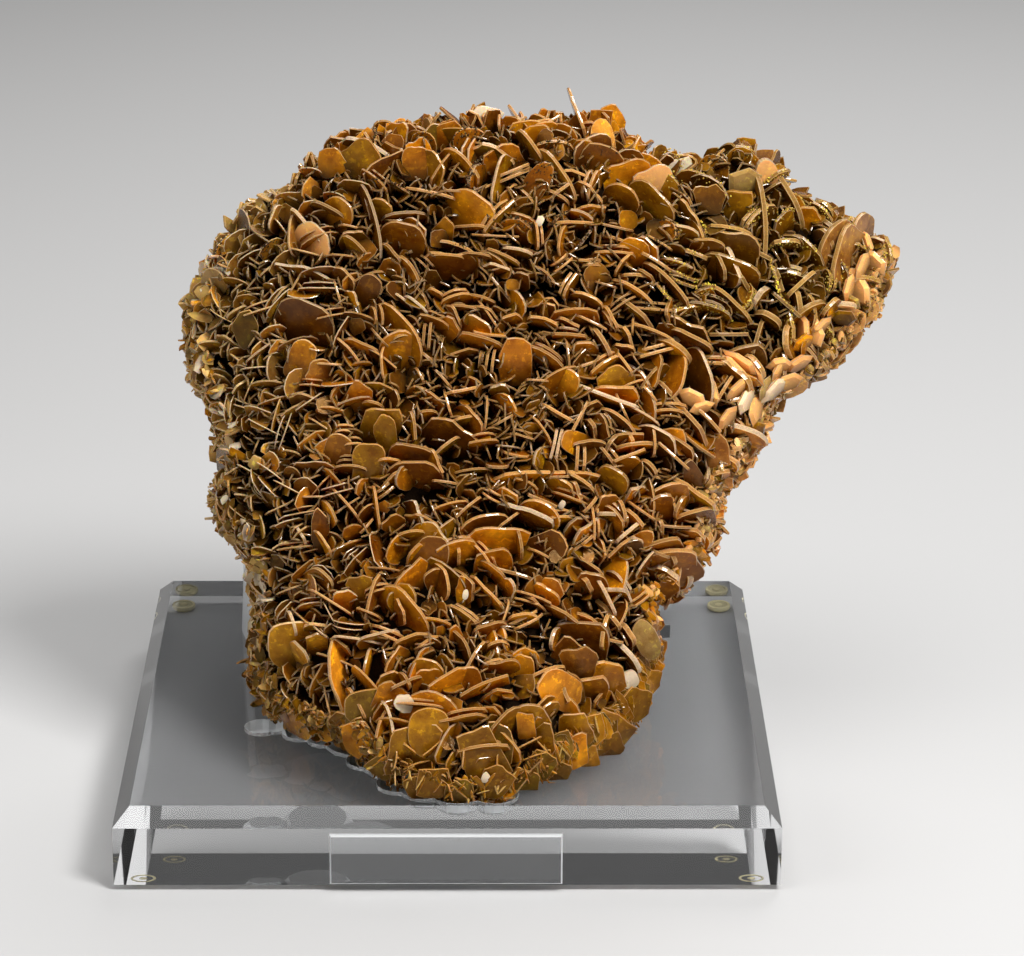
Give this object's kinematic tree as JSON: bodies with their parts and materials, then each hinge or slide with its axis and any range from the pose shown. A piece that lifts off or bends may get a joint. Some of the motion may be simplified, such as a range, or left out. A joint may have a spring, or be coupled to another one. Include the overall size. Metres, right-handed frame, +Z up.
{
  "type": "wulfenite",
  "caption": "Leaning cluster of thin tabular amber crystals on matrix, set in a carved clear acrylic block on bumper feet, held by an upright slab, with a blank label plate.",
  "frame": {"origin": "under the middle of the whole piece's box, on the surface that the bumper feet stand on", "axes": "+X to the right as seen from the front, +Y to the back, +Z up; the label plate and the leaning crystal face look to -Y"},
  "size_m": [0.2572, 0.2074, 0.2321],
  "materials": {
    "wulfenite": "glossy amber crystal plates on brown rock",
    "acrylic": "polished clear",
    "bumper_rubber": "clear soft, slightly yellow"
  },
  "bodies": {
    "root": {"wulfenite_cluster": "wulfenite", "base_block": "acrylic", "upright_slab": "acrylic", "label_plate": "acrylic", "foot_front_left": "bumper_rubber", "foot_front_right": "bumper_rubber", "foot_rear_left": "bumper_rubber", "foot_rear_right": "bumper_rubber"}
  },
  "joints": []
}
